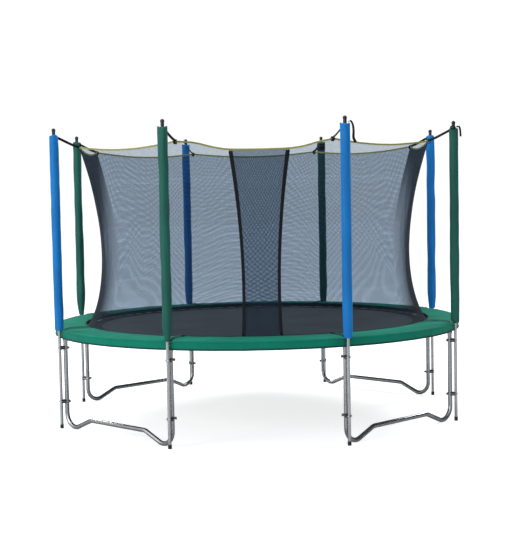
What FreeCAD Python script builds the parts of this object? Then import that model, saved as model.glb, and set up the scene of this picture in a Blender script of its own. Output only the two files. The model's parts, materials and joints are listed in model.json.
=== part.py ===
import FreeCAD, Part
import math
import os
import re

import Sketcher
from FreeCAD import Placement, Rotation, Vector

# Round garden trampoline with a safety net on eight poles.
# Millimetres, +Z up, origin on the ground under the middle of the mat, entrance on the -Y side.
# The poles are numbered anticlockwise seen from above, from the one right of the entrance.
# A part that repeats is drawn once at the origin, with +X pointing away from the middle of the frame,
# and set out by its polar place.

DIMENSIONS = {
    "pole_count": 8,
    "total_height": 2600,
    "bearing_gap": 0.1,
    "sliding_gap": 0.2,
    # round rail of the frame
    "rail_ring": 1809,
    "rail_tube": 42,
    "rail_wall": 1.5,
    "rail_height": 831,
    "rail_joint_gap": 1,
    "spigot_length": 100,
    "socket_low": 760,
    "socket_tube": 42.4,
    "socket_weld": 10,
    "screw_rise": 15,
    "screw_dia": 4.8,
    "screw_hole": 5.2,
    "screw_head_dia": 10,
    "screw_head_height": 3.5,
    # W-shaped leg bases and uprights
    "leg_tube": 38,
    "leg_wall": 1.8,
    "leg_joint_height": 210,
    "leg_swage_length": 60,
    "upright_short": 4,
    "swage_collar": 2,
    "swage_step": 0.5,
    "leg_bend": 115,
    "hump_height": 100,
    "hump_corner": 360,
    # net poles outside the uprights
    "pole_ring": 1860,
    "pole_tube": 27,
    "pole_wall": 1.5,
    "pole_base": 6,
    "pole_joint_height": 1260,
    "pole_swage_length": 80,
    "pole_top": 2560,
    "foot_dia": 31.2,
    "foot_height": 34,
    "cap_ball": 35,
    "cap_neck": 29,
    # padded covers of the poles
    "cover_dia": 80,
    "cover_cloth": 1.6,
    "cover_low": 852,
    "cover_high": 2540,
    # clamps between pole and upright
    "clamp_low_height": 235,
    "clamp_high_height": 704,
    "bolt_dia": 6,
    "bolt_spread": 44.4,
    "bolt_corner": 12,
    "bolt_thread": 6,
    "nut_height": 8,
    "block_height": 30,
    "block_width": 36,
    "plate_thick": 3,
    "plate_width": 62,
    "plate_height": 22,
    # pad over the rail and the springs
    "pad_top": 870,
    "pad_thick": 15,
    "pad_inner_ring": 1566,
    "pad_outer_ring": 1842,
    "pad_corner": 24,
    "skirt_thick": 4,
    "skirt_low": 784,
    "pad_notch": 43,
    "pad_notch_low": 849,
    "tie_width": 20,
    "tie_thick": 1.2,
    # mat, its edge and the springs
    "spring_count": 72,
    "mat_ring": 1550,
    "mat_thick": 2,
    "webbing_inner_ring": 1425,
    "webbing_outer_ring": 1515,
    "webbing_thick": 2,
    "ring_bar_place": 1556,
    "ring_reach": 34,
    "ring_wire": 4,
    "ring_wide": 38,
    "ring_narrow": 18,
    "tab_thick": 1.2,
    "tab_width": 26,
    "tab_reach": 36,
    "spring_wire": 3.2,
    "eye_dia": 14,
    "coil_dia": 22,
    "shank_start": 1600,
    "crossing_dia": 4,
    "coil_start": 1612,
    "coil_end": 1768,
    "hook_end": 1800,
    "hook_hole": 9,
    # safety net
    "net_thick": 3,
    "net_hem_gap": 3,
    "tape_stand_out": 2.4,
    "tape_thick": 2,
    "hem_stand_out": 1,
    "net_low": 869,
    "net_foot_ring": 1563.5,
    "net_head_ring": 1515,
    "net_corner_ring": 1642,
    "net_corner_height": 2443,
    "net_sag": 40,
    "net_waist": 137,
    "hem_height": 18,
    "foot_hem_low": 838,
    "foot_hem_high": 868,
    "foot_hem_thick": 4,
    "strap_drop": 28,
    "strap_gap": 3,
    "strap_width": 25,
    "strap_thick": 2.4,
    # entrance in the front panel
    "door_centre": 40,
    "door_half_foot": 157,
    "door_half_head": 230,
    "door_half_waist": 16,
    "door_head_height": 2367,
    "door_tape_width": 32,
    "flap_inset": 10,
    "flap_overlap": 12,
    "flap_low": 856,
}

WHOLE_TURN = 360.0
WAIST_POWER = 0.7      # puts the net's waist below its middle

doc = FreeCAD.newDocument("Trampoline")
nodes = []


# ---------------------------------------------------------------- sheet and small helpers

def fill_sheet():
    """The spreadsheet with one named cell for each driving dimension."""
    sheet = doc.addObject("Spreadsheet::Sheet", "Sizes")
    for row, (alias, value) in enumerate(DIMENSIONS.items(), start=1):
        sheet.set(f"A{row}", alias.replace("_", " "))
        sheet.set(f"B{row}", str(value))
        sheet.setAlias(f"B{row}", alias)
    doc.recompute()
    return sheet


sizes = fill_sheet()


def rule(text):
    """Text in sheet names, such as 'rail_tube / 2', as an expression on the sheet's cells."""
    return re.sub(r"[a-z]+_\w+", r"Sizes.\g<0>", text)


def size(text):
    """The present value of a rule, in millimetres or as a plain number."""
    return float(sizes.evalExpression(text))


def bind(thing, rules):
    """Ties each named property of an object to the sheet."""
    for name, text in rules.items():
        thing.setExpression(name, rule(text))
    return thing


def polar(angle, ring=0.0, height=0.0):
    """The place at an angle on a ring, turned so that +X points outwards."""
    around = math.radians(angle)
    spot = Vector(ring * math.cos(around), ring * math.sin(around), height)
    return Placement(spot, Rotation(Vector(0, 0, 1), angle))


def pole_angle(number):
    """Direction of pole 1 to 8 from the middle of the frame, in degrees from +X."""
    step = WHOLE_TURN / size("pole_count")
    return -90.0 + step * (number - 0.5)


def cylinder(name, radius, low, high):
    """An upright cylinder between two heights."""
    solid = doc.addObject("Part::Cylinder", name)
    return bind(solid, {"Radius": radius, "Height": f"({high}) - ({low})", "Placement.Base.z": low})


def rod(name, radius, start, end):
    """A cylinder that lies along X, from start to end."""
    solid = doc.addObject("Part::Cylinder", name)
    solid.Placement = Placement(Vector(), Rotation(Vector(0, 1, 0), 90))
    return bind(solid, {"Radius": radius, "Height": f"({end}) - ({start})", "Placement.Base.x": start})


def box(name, low, high):
    """A box between two corners, each given as three rules."""
    solid = doc.addObject("Part::Box", name)
    for axis, side, low_rule, high_rule in zip("xyz", ("Length", "Width", "Height"), low, high):
        bind(solid, {side: f"({high_rule}) - ({low_rule})", f"Placement.Base.{axis}": low_rule})
    return solid


def ring_arc(name, ring, radius, arc):
    """A round bar bent to a ring, over an arc of so many degrees with its middle at +X."""
    solid = doc.addObject("Part::Torus", name)
    solid.Angle1 = -180
    solid.Angle2 = 180
    bind(solid, {"Radius1": ring, "Radius2": radius, "Angle3": arc})
    solid.Placement = Placement(Vector(), Rotation(Vector(0, 0, 1), -size(arc) / 2))
    return bind(solid, {"Placement.Base.z": "rail_height"})


def cut(name, base, *tools):
    """The base without the tools."""
    for count, tool in enumerate(tools, start=1):
        less = doc.addObject("Part::Cut", name if count == len(tools) else f"{name}_step")
        less.Base = base
        less.Tool = tool
        base = less
    return base


def fuse(name, *pieces):
    """Overlapping pieces made one solid."""
    whole = doc.addObject("Part::MultiFuse", name)
    whole.Shapes = list(pieces)
    return whole


def tube(name, outside, inside, low, high):
    """A straight upright tube."""
    skin = cylinder(f"{name}_skin", outside, low, high)
    bore = cylinder(f"{name}_bore", inside, low, high)
    return cut(name, skin, bore)


def placed(name, source, place):
    """A copy of a drawn piece that keeps following it, at a place of its own."""
    copy = doc.addObject("Part::Compound", name)
    copy.Links = [source]
    copy.Placement = place
    return copy


def keep(label, piece):
    """Makes a piece a sub-part: its label names its file."""
    piece.Label = label
    nodes.append(piece)
    return piece


def group(label, source, places, others=()):
    """Equal pieces, and any others given, that share one sub-part as separate solids."""
    whole = doc.addObject("Part::Compound", label)
    whole.Links = [placed(f"{label}_copy", source, place) for place in places] + list(others)
    return keep(label, whole)


def feature(label, solids):
    """A sub-part whose solids are worked out from formulas of the sheet's sizes."""
    part = doc.addObject("Part::Feature", label)
    part.Shape = solids[0] if len(solids) == 1 else Part.makeCompound(solids)
    part.Placement = Placement()
    return keep(label, part)


def plane_of(body, role):
    """One of the body's own origin planes."""
    return next(item for item in body.Origin.OriginFeatures if item.Role == role)


def sketch_in(body, name, role):
    """An empty sketch on one of the body's origin planes."""
    sketch = body.newObject("Sketcher::SketchObject", name)
    sketch.AttachmentSupport = [(plane_of(body, role), "")]
    sketch.MapMode = "FlatFace"
    return sketch


def tie(sketch, kind, *where, to):
    """A dimension of a sketch that follows a rule of the sheet."""
    index = sketch.addConstraint(Sketcher.Constraint(kind, *where, size(to)))
    sketch.setExpression(f"Constraints[{index}]", rule(to))


def closed_outline(sketch, corners):
    """Straight sides through corners given as pairs of rules, each corner tied to the sheet."""
    first = sketch.GeometryCount
    points = [Vector(size(x), size(y), 0) for x, y in corners]
    for start, end in zip(points, points[1:] + points[:1]):
        sketch.addGeometry(Part.LineSegment(start, end), False)
    for side in range(len(corners)):
        before = first + (side - 1) % len(corners)
        sketch.addConstraint(Sketcher.Constraint("Coincident", before, 2, first + side, 1))
    for side, (x, y) in enumerate(corners):
        tie(sketch, "DistanceX", -1, 1, first + side, 1, to=x)
        tie(sketch, "DistanceY", -1, 1, first + side, 1, to=y)


def ring_section(sketch, radius, hole=None):
    """A circle about the sketch's origin, with a hole in it if one is given."""
    for circle_rule in filter(None, (radius, hole)):
        index = sketch.addGeometry(Part.Circle(Vector(), Vector(0, 0, 1), size(circle_rule)), False)
        sketch.addConstraint(Sketcher.Constraint("Coincident", index, 3, -1, 1))
        tie(sketch, "Radius", index, to=circle_rule)


# ---------------------------------------------------------------- places

numbers = range(1, int(size("pole_count")) + 1)
pole_places = [polar(pole_angle(number), size("pole_ring")) for number in numbers]
leg_places = [polar(pole_angle(number), size("rail_ring")) for number in numbers]
spring_step = WHOLE_TURN / size("spring_count")
spring_places = [polar(pole_angle(1) + spring_step * turn) for turn in range(int(size("spring_count")))]


# ---------------------------------------------------------------- frame

def make_rails():
    """Eight curved rail tubes with spring holes, the spigots that join them and the leg sockets."""
    arc = "360 / pole_count - rail_joint_gap / rail_ring * 180 / pi"
    skin = ring_arc("rail_skin", "rail_ring", "rail_tube / 2", arc)
    bore = ring_arc("rail_bore", "rail_ring", "rail_tube / 2 - rail_wall", arc)
    drill = rod("spring_drill", "hook_hole / 2", "rail_ring - rail_tube", "rail_ring - rail_wall")
    bind(drill, {"Placement.Base.z": "rail_height"})
    springs_per_rail = int(size("spring_count / pole_count"))
    drills = doc.addObject("Part::Compound", "spring_drills")
    drills.Links = [
        placed("spring_drill_copy", drill, polar(spring_step * (turn - (springs_per_rail - 1) / 2)))
        for turn in range(springs_per_rail)
    ]
    rail = cut("rail", skin, bore, drills)
    for number in numbers:
        keep(f"top_rail_{number}", placed("rail_copy", rail, polar(pole_angle(number))))

    spigot_arc = "spigot_length / rail_ring * 180 / pi"
    outside = "rail_tube / 2 - rail_wall - sliding_gap"
    spigot_skin = ring_arc("spigot_skin", "rail_ring", outside, spigot_arc)
    spigot_bore = ring_arc("spigot_bore", "rail_ring", f"{outside} - rail_wall", spigot_arc)
    spigot = cut("spigot", spigot_skin, spigot_bore)
    half_step = WHOLE_TURN / size("pole_count") / 2
    group("rail_spigots", spigot, [polar(pole_angle(number) + half_step) for number in numbers])

    stub = tube("socket_stub", "socket_tube / 2", "leg_tube / 2 + sliding_gap",
                "socket_low", "rail_height - rail_tube / 2 + socket_weld")
    stub_out = placed("socket_stub_out", stub, Placement(Vector(size("rail_ring"), 0, 0), Rotation()))
    saddle = ring_arc("socket_saddle", "rail_ring", "rail_tube / 2 + bearing_gap / 2", "10")
    hole = rod("socket_hole", "screw_hole / 2", "rail_ring", "rail_ring + rail_tube")
    bind(hole, {"Placement.Base.z": "socket_low + screw_rise"})
    socket = cut("socket", stub_out, saddle, hole)
    group("rail_sockets", socket, [polar(pole_angle(number)) for number in numbers])


def make_rail_screws():
    """One screw through each socket into its upright."""
    face = "socket_tube / 2 + bearing_gap"
    shank = rod("screw_shank", "screw_dia / 2", "leg_tube / 2 - leg_wall - screw_dia / 2", f"{face} + 1")
    head = rod("screw_head", "screw_head_dia / 2", face, f"{face} + screw_head_height")
    screw = fuse("screw", shank, head)
    height = size("socket_low + screw_rise")
    group("rail_screws", screw, [polar(pole_angle(number), size("rail_ring"), height) for number in numbers])


def make_leg_bases():
    """Four bent tubes: down, round a bend on the ground, up a slope to a level hump, and mirrored."""
    half_chord = "rail_ring * sin(180 / pole_count)"
    base = doc.addObject("PartDesign::Body", "leg_base")
    path = sketch_in(base, "leg_path", "XZ_Plane")
    side = -size(half_chord)
    bend, joint = size("leg_bend"), size("leg_joint_height")
    low, hump, corner = size("leg_tube / 2"), size("hump_height"), size("hump_corner")
    bend_centre = Vector(side + bend, low + bend, 0)
    hump_centre = Vector(side + corner, hump - bend, 0)
    between = hump_centre - bend_centre
    tilt = math.atan2(between.y, between.x) + math.asin(2 * bend / between.Length)
    down = Vector(math.sin(tilt), -math.cos(tilt), 0)
    slope_start = bend_centre + down * bend
    slope_end = hump_centre - down * bend
    flat = Part.Circle(bend_centre, Vector(0, 0, 1), bend)
    crown = Part.Circle(hump_centre, Vector(0, 0, 1), bend)
    path.addGeometry([
        Part.LineSegment(Vector(side, joint, 0), Vector(side, bend_centre.y, 0)),
        Part.ArcOfCircle(flat, math.pi, 1.5 * math.pi + tilt),
        Part.LineSegment(slope_start, slope_end),
        Part.ArcOfCircle(crown, math.pi / 2, math.pi / 2 + tilt),
        Part.LineSegment(Vector(hump_centre.x, hump, 0), Vector(0, hump, 0)),
    ], False)
    for constraint in (("Vertical", 0), ("Horizontal", 4), ("Tangent", 0, 2, 1, 1), ("Tangent", 1, 2, 2, 1),
                       ("Tangent", 2, 2, 3, 2), ("Tangent", 3, 1, 4, 1), ("PointOnObject", 4, 2, -2),
                       ("Equal", 1, 3)):
        path.addConstraint(Sketcher.Constraint(*constraint))
    tie(path, "DistanceX", 0, 1, -1, 1, to=half_chord)
    tie(path, "DistanceY", -1, 1, 0, 1, to="leg_joint_height")
    tie(path, "Radius", 1, to="leg_bend")
    tie(path, "DistanceY", -1, 1, 1, 3, to="leg_tube / 2 + leg_bend")
    tie(path, "DistanceY", -1, 1, 4, 1, to="hump_height")
    tie(path, "DistanceX", 0, 1, 3, 3, to="hump_corner")
    section = sketch_in(base, "leg_section", "XY_Plane")
    bind(section, {"AttachmentOffset.Base.x": f"-{half_chord}",
                   "AttachmentOffset.Base.z": "leg_joint_height"})
    ring_section(section, "leg_tube / 2", "leg_tube / 2 - leg_wall")
    doc.recompute()
    half = base.newObject("PartDesign::AdditivePipe", "leg_half")
    half.Profile = section
    half.Spine = (path, [""])
    doc.recompute()
    mirror = base.newObject("PartDesign::Mirrored", "leg_mirror")
    mirror.Originals = [half]
    mirror.MirrorPlane = (plane_of(base, "YZ_Plane"), [""])
    base.Tip = mirror
    chord_ring = size("rail_ring * cos(180 / pole_count)")
    for number in range(1, 5):
        middle = (pole_angle(2 * number - 1) + pole_angle(2 * number)) / 2
        place = polar(middle, chord_ring)
        place.Rotation = Rotation(Vector(0, 0, 1), middle + 90)
        keep(f"leg_base_{number}", placed("leg_base_copy", base, place))


def make_uprights():
    """Eight straight leg tubes, swaged at the foot to plug into a leg base."""
    barrel = tube("upright_barrel", "leg_tube / 2", "leg_tube / 2 - leg_wall",
                  "leg_joint_height", "rail_height - rail_tube / 2 - upright_short")
    plug_radius, collar_top = "leg_tube / 2 - leg_wall - sliding_gap", "leg_joint_height + swage_collar"
    plug = tube("upright_plug", plug_radius, f"{plug_radius} - leg_wall",
                "leg_joint_height - leg_swage_length", collar_top)
    collar = tube("upright_collar", "leg_tube / 2 - swage_step", f"{plug_radius} - leg_wall",
                  "leg_joint_height", collar_top)
    hole = rod("upright_hole", "screw_hole / 2", "0", "leg_tube")
    bind(hole, {"Placement.Base.z": "socket_low + screw_rise"})
    upright = cut("upright", fuse("upright_whole", barrel, collar, plug), hole)
    for number, place in zip(numbers, leg_places):
        keep(f"leg_upright_{number}", placed("upright_copy", upright, place))


def make_poles():
    """Net poles: a lower tube down to the ground and a swaged upper tube in it, with foot and cap."""
    radius = "pole_tube / 2"
    lower = tube("lower_pole", radius, f"{radius} - pole_wall", "pole_base", "pole_joint_height")
    for number, place in zip(numbers, pole_places):
        keep(f"pole_lower_{number}", placed("lower_pole_copy", lower, place))

    barrel = tube("upper_barrel", radius, f"{radius} - pole_wall", "pole_joint_height", "pole_top")
    plug_radius, collar_top = f"{radius} - pole_wall - sliding_gap", "pole_joint_height + swage_collar"
    plug = tube("upper_plug", plug_radius, f"{plug_radius} - pole_wall",
                "pole_joint_height - pole_swage_length", collar_top)
    collar = tube("upper_collar", f"{radius} - swage_step", f"{plug_radius} - pole_wall",
                  "pole_joint_height", collar_top)
    group("pole_upper_tubes", fuse("upper_pole", barrel, collar, plug), pole_places)

    cup = cylinder("foot_cup", "foot_dia / 2", "0", "foot_height")
    well = cylinder("foot_well", f"{radius} + bearing_gap / 2", "pole_base", "foot_height")
    group("pole_feet", cut("foot", cup, well), pole_places)

    neck = cylinder("cap_neck_bar", "cap_neck / 2", "cover_high + 1", "total_height - cap_ball / 2")
    ball = doc.addObject("Part::Sphere", "cap_ball_knob")
    bind(ball, {"Radius": "cap_ball / 2", "Placement.Base.z": "total_height - cap_ball / 2"})
    bore = cylinder("cap_bore", f"{radius} + bearing_gap / 2", "cover_high", "pole_top + bearing_gap")
    group("pole_caps", cut("cap", fuse("cap_body", neck, ball), bore), pole_places)


def make_pole_covers():
    """A foam tube on each pole and a sewn cover over it, closed round the pole at both ends."""
    foam = tube("foam", "cover_dia / 2 - cover_cloth - sliding_gap", "pole_tube / 2 + 2 * sliding_gap",
                "cover_low + 2 * cover_cloth", "cover_high - 2 * cover_cloth")
    group("foam_tubes", foam, pole_places)
    skin = tube("cover_skin", "cover_dia / 2", "pole_tube / 2 + sliding_gap", "cover_low", "cover_high")
    hollow = cylinder("cover_hollow", "cover_dia / 2 - cover_cloth",
                      "cover_low + cover_cloth", "cover_high - cover_cloth")
    cover = cut("cover", skin, hollow)
    for number, place in zip(numbers, pole_places):
        keep(f"pole_cover_{number}", placed("cover_copy", cover, place))


# ---------------------------------------------------------------- clamps

def clamp_places():
    """Two clamps on each pole, in the pole's own directions."""
    heights = (size("clamp_low_height"), size("clamp_high_height"))
    return [polar(pole_angle(number), size("pole_ring"), height) for number in numbers for height in heights]


def make_clamps():
    """Block between pole and upright, square-cornered U-bolt round both, plate and cap nuts."""
    places = clamp_places()
    leg_axis = "rail_ring - pole_ring"
    half_height = "block_height / 2"
    block = box("block_blank", (leg_axis, "-block_width / 2", f"-{half_height}"),
                ("0", "block_width / 2", half_height))
    pole_saddle = cylinder("pole_saddle", "pole_tube / 2 + bearing_gap", "-block_height", "block_height")
    leg_saddle = cylinder("leg_saddle", "leg_tube / 2 + bearing_gap", "-block_height", "block_height")
    bind(leg_saddle, {"Placement.Base.x": leg_axis})
    group("clamp_blocks", cut("block", block, pole_saddle, leg_saddle), places)

    plate_face = f"{leg_axis} - leg_tube / 2 - bearing_gap"
    plate = box("plate_blank", (f"{plate_face} - plate_thick", "-plate_width / 2", "-plate_height / 2"),
                (plate_face, "plate_width / 2", "plate_height / 2"))
    drills = []
    for sign in ("", "-"):
        drill = rod("plate_drill", "bolt_dia / 2 + sliding_gap",
                    f"{plate_face} - 2 * plate_thick", plate_face)
        drills.append(bind(drill, {"Placement.Base.y": f"{sign}bolt_spread / 2"}))
    group("clamp_plates", cut("plate", plate, *drills), places)

    bolt = doc.addObject("PartDesign::Body", "u_bolt")
    path = sketch_in(bolt, "bolt_path", "XY_Plane")
    leg_end = f"{leg_axis} - leg_tube / 2 - plate_thick - bolt_thread"
    bar = "pole_tube / 2 + bolt_dia / 2 + bearing_gap"
    half, corner, front, back = (size(text) for text in ("bolt_spread / 2", "bolt_corner", bar, leg_end))
    upper_corner = Part.Circle(Vector(front - corner, half - corner, 0), Vector(0, 0, 1), corner)
    lower_corner = Part.Circle(Vector(front - corner, corner - half, 0), Vector(0, 0, 1), corner)
    path.addGeometry([
        Part.LineSegment(Vector(back, half, 0), Vector(front - corner, half, 0)),
        Part.ArcOfCircle(upper_corner, 0, math.pi / 2),
        Part.LineSegment(Vector(front, half - corner, 0), Vector(front, corner - half, 0)),
        Part.ArcOfCircle(lower_corner, -math.pi / 2, 0),
        Part.LineSegment(Vector(front - corner, -half, 0), Vector(back, -half, 0)),
    ], False)
    for constraint in (("Horizontal", 0), ("Vertical", 2), ("Horizontal", 4), ("Tangent", 0, 2, 1, 2),
                       ("Tangent", 1, 1, 2, 1), ("Tangent", 2, 2, 3, 2), ("Tangent", 3, 1, 4, 1),
                       ("Equal", 1, 3), ("Symmetric", 0, 1, 4, 2, -1)):
        path.addConstraint(Sketcher.Constraint(*constraint))
    tie(path, "Radius", 1, to="bolt_corner")
    tie(path, "DistanceY", -1, 1, 0, 1, to="bolt_spread / 2")
    tie(path, "DistanceX", -1, 1, 2, 1, to=bar)
    tie(path, "DistanceX", 0, 1, -1, 1, to=f"-({leg_end})")
    section = sketch_in(bolt, "bolt_section", "YZ_Plane")
    bind(section, {"AttachmentOffset.Base.x": "bolt_spread / 2", "AttachmentOffset.Base.z": leg_end})
    ring_section(section, "bolt_dia / 2")
    doc.recompute()
    bend = bolt.newObject("PartDesign::AdditivePipe", "bolt_bend")
    bend.Profile = section
    bend.Spine = (path, [""])
    group("u_bolts", bolt, places)

    hexagon = doc.addObject("Part::Prism", "nut_hexagon")
    hexagon.Polygon = 6
    hexagon.Placement = Placement(Vector(), Rotation(Vector(0, 1, 0), -90))
    seat = f"{plate_face} - plate_thick - bearing_gap / 2"
    bind(hexagon, {"Circumradius": "bolt_dia", "Height": "nut_height",
                   "Placement.Base.x": seat, "Placement.Base.y": "bolt_spread / 2"})
    thread = rod("nut_thread", "bolt_dia / 2 + bearing_gap / 2", f"{seat} - bolt_thread - 1", seat)
    bind(thread, {"Placement.Base.y": "bolt_spread / 2"})
    nut = cut("nut", hexagon, thread)
    other_side = Placement(Vector(0, -size("bolt_spread"), 0), Rotation())
    group("u_bolt_nuts", nut, places + [place.multiply(other_side) for place in places])


# ---------------------------------------------------------------- pad

def make_pad():
    """Padded ring over rail and springs with a skirt outside, dented where each pole cover stands."""
    crown = cylinder("pad_crown", "pad_outer_ring", "skirt_low", "pad_top")
    under = cylinder("pad_under", "pad_outer_ring - skirt_thick", "skirt_low", "pad_top - pad_thick")
    eye = cylinder("pad_eye", "pad_inner_ring", "skirt_low", "pad_top")
    doc.recompute()
    rounded = []
    for name, disc, radius in (("pad_crown_round", crown, size("pad_corner")),
                               ("pad_under_round", under, size("pad_corner - skirt_thick"))):
        top_edge = max(range(len(disc.Shape.Edges)), key=lambda item: disc.Shape.Edges[item].BoundBox.ZMin)
        fillet = doc.addObject("Part::Fillet", name)
        fillet.Base = disc
        fillet.Edges = [(top_edge + 1, radius, radius)]
        rounded.append(fillet)
    dent = cylinder("pad_dent", "pad_notch", "pad_notch_low", "pad_top + 1")
    dents = doc.addObject("Part::Compound", "pad_dents")
    dents.Links = [placed("pad_dent_copy", dent, place) for place in pole_places]
    keep("frame_pad", cut("frame_pad", rounded[0], rounded[1], eye, dents))

    tie_arc = "tie_width / rail_ring * 180 / pi"
    inside = "rail_tube / 2 + sliding_gap"
    loop_skin = ring_arc("tie_skin", "rail_ring", f"{inside} + tie_thick", tie_arc)
    loop_bore = ring_arc("tie_bore", "rail_ring", inside, tie_arc)
    offset = 2.5 * spring_step
    angles = [pole_angle(number) + turn for number in numbers for turn in (-offset, offset)]
    group("pad_ties", cut("tie", loop_skin, loop_bore), [polar(angle) for angle in angles])


# ---------------------------------------------------------------- mat and springs

def make_mat():
    """Round mat, the webbing band sewn on its edge, and the folded tabs that hold the V-rings."""
    mat = cylinder("mat_disc", "mat_ring", "rail_height - mat_thick / 2", "rail_height + mat_thick / 2")
    keep("jumping_mat", mat)
    band = tube("webbing_band", "webbing_outer_ring", "webbing_inner_ring",
                "rail_height + mat_thick / 2", "rail_height + mat_thick / 2 + webbing_thick")

    tab = doc.addObject("PartDesign::Body", "tab")
    outline = sketch_in(tab, "tab_outline", "XZ_Plane")
    inner, outer = "ring_wire / 2 + bearing_gap", "ring_wire / 2 + bearing_gap + tab_thick"
    closed_outline(outline, [
        ("-tab_reach", inner), ("-tab_reach", outer), (outer, outer), (outer, f"-({outer})"),
        ("-tab_reach", f"-({outer})"), ("-tab_reach", f"-({inner})"), (inner, f"-({inner})"), (inner, inner),
    ])
    doc.recompute()
    fold = tab.newObject("PartDesign::Pad", "tab_fold")
    fold.Profile = outline
    fold.Midplane = True
    bind(fold, {"Length": "tab_width"})
    bar_ring, height = size("ring_bar_place"), size("rail_height")
    out = Placement(Vector(bar_ring, 0, height), Rotation())
    places = [place.multiply(out) for place in spring_places]
    group("mat_edge_webbing", tab, places, others=[band])

    ring = doc.addObject("PartDesign::Body", "v_ring")
    wire = sketch_in(ring, "v_ring_outline", "XY_Plane")
    half_wire, wide, narrow = "ring_wire / 2", "ring_wide / 2", "ring_narrow / 2"
    for grow in (half_wire, f"-{half_wire}"):
        start, end = f"0 - ({grow})", f"ring_reach + ({grow})"
        closed_outline(wire, [
            (start, f"-({wide} + ({grow}))"), (end, f"-({narrow} + ({grow}))"),
            (end, f"{narrow} + ({grow})"), (start, f"{wide} + ({grow})"),
        ])
    doc.recompute()
    blank = ring.newObject("PartDesign::Pad", "v_ring_wire")
    blank.Profile = wire
    blank.Midplane = True
    bind(blank, {"Length": "ring_wire"})
    group("v_rings", ring, places)


def make_springs():
    """Close-wound springs: an eye round the V-ring, the coil, and a hook into a hole of the rail.
    At each end the wire crosses the open coil to its axis."""
    wire, eye_radius = "spring_wire / 2", "eye_dia / 2"
    bar_side = "ring_bar_place + ring_reach - ring_wire / 2"
    eye_hole = f"{eye_radius} - {wire} - 2 * bearing_gap"
    eye = doc.addObject("Part::Torus", "spring_eye")
    eye.Placement = Placement(Vector(), Rotation(Vector(1, 0, 0), 90))
    bind(eye, {"Radius1": eye_radius, "Radius2": wire,
               "Placement.Base.x": f"{bar_side} + sqrt(({eye_hole}) ^ 2 - (ring_wire / 2) ^ 2)"})
    shank = rod("spring_shank", f"{wire} + sliding_gap", "shank_start", f"coil_start + {wire}")
    skin = rod("spring_skin", "coil_dia / 2", "coil_start", "coil_end")
    hollow = rod("spring_hollow", "coil_dia / 2 - spring_wire", "coil_start", "coil_end")
    hook = rod("spring_hook", wire, f"coil_end - {wire}", "hook_end")
    reach, crossing_radius = f"coil_dia / 2 - {wire}", "crossing_dia / 2"
    crossings = []
    for place in (f"coil_start + 1.3 * {crossing_radius}", f"coil_end - 1.3 * {crossing_radius}"):
        crossing = cylinder("spring_crossing", crossing_radius, f"-({reach})", reach)
        crossings.append(bind(crossing, {"Placement.Base.x": place}))
    spring = fuse("spring", cut("spring_coil", skin, hollow), eye, shank, hook, *crossings)
    height = Placement(Vector(0, 0, size("rail_height")), Rotation())
    group("springs", spring, [place.multiply(height) for place in spring_places])


# ---------------------------------------------------------------- safety net

HALF_PANEL = math.pi / DIMENSIONS["pole_count"]
FRONT = -math.pi / 2


def waist(share):
    """How far the net is drawn in at a share of its height, from 0 to 1 and back to 0."""
    return math.sin(math.pi * max(share, 0.0) ** WAIST_POWER)


def door_angle(side, share):
    """Angle from the front direction to an edge of the entrance: side is -1 or 1."""
    foot, head = size("door_half_foot"), size("door_half_head")
    half = foot + (head - foot) * share ** 2.5 - size("door_half_waist") * waist(share)
    return (size("door_centre") + side * half) / net_ring(0.0, share)


def net_ring(turn, share):
    """Radius of the net: turn is the angle from a panel's middle, share of the height 0 to 1.
    A straight chord between the corners at the top, a circle at the foot, drawn in at the waist."""
    foot, head, corner = size("net_foot_ring"), size("net_head_ring"), size("net_corner_ring")
    middle = foot + (head - foot) * share - size("net_waist") * waist(share)
    bulge = (1 / math.cos(turn) - 1) / (1 / math.cos(HALF_PANEL) - 1)
    return middle + (corner - head) * share ** 2 * bulge


def net_top(turn, front):
    """Height of the net's top edge: a sagging line, cut lower and level over the entrance."""
    corner = size("net_corner_height")
    if not front:
        return corner - size("net_sag") * (1 - (turn / HALF_PANEL) ** 2)
    across = math.sin(turn) * size("net_head_ring")
    slope_length = size("net_corner_ring") * math.sin(HALF_PANEL) - size("door_half_head")
    rise = (abs(across - size("door_centre")) - size("door_half_head")) / slope_length
    level = 1 / (1 + math.exp(-6.5 * (rise - 0.45)))
    drop = corner - size("door_head_height")
    return corner - drop * (1 - level)


def net_point(middle, turn, height, inset, front):
    """A point of the net's outside, moved inwards by an inset."""
    foot = size("foot_hem_low")
    share = (height - foot) / (net_top(turn, front) - foot)
    ring = net_ring(turn, share) - inset
    return Vector(ring * math.cos(middle + turn), ring * math.sin(middle + turn), height)


def skin_solid(point, inset, thick, columns=9, rows=11):
    """A closed sheet between two smooth skins; point(across, up, inset) gives a point for shares 0 to 1."""
    skins = []
    for depth in (inset, inset + thick):
        grid = [
            [point(column / (columns - 1), row / (rows - 1), depth) for row in range(rows)]
            for column in range(columns)
        ]
        skin = Part.BSplineSurface()
        skin.interpolate(grid)
        skins.append(skin.toShape())
    sides = [Part.makeRuledSurface(outer, inner) for outer, inner in zip(skins[0].Edges, skins[1].Edges)]
    sewn = Part.makeCompound(skins + sides)
    sewn.sewShape()
    solid = Part.makeSolid(sewn.Shells[0] if sewn.Shells else Part.makeShell(sewn.Faces))
    if solid.Volume < 0:
        solid.reverse()
    return solid


def panel(middle, left, right, low, high, front=False):
    """A point function for a stretch of net between two edge angles and two heights.
    Each edge is a function of the share of height; low and high are functions of the angle."""
    def point(across, up, inset):
        share = 0.02 + 0.98 * up
        turn = left(share) + (right(share) - left(share)) * across
        bottom, top = low(turn), high(turn)
        return net_point(middle, turn, bottom + (top - bottom) * up, inset, front)
    return point


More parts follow.
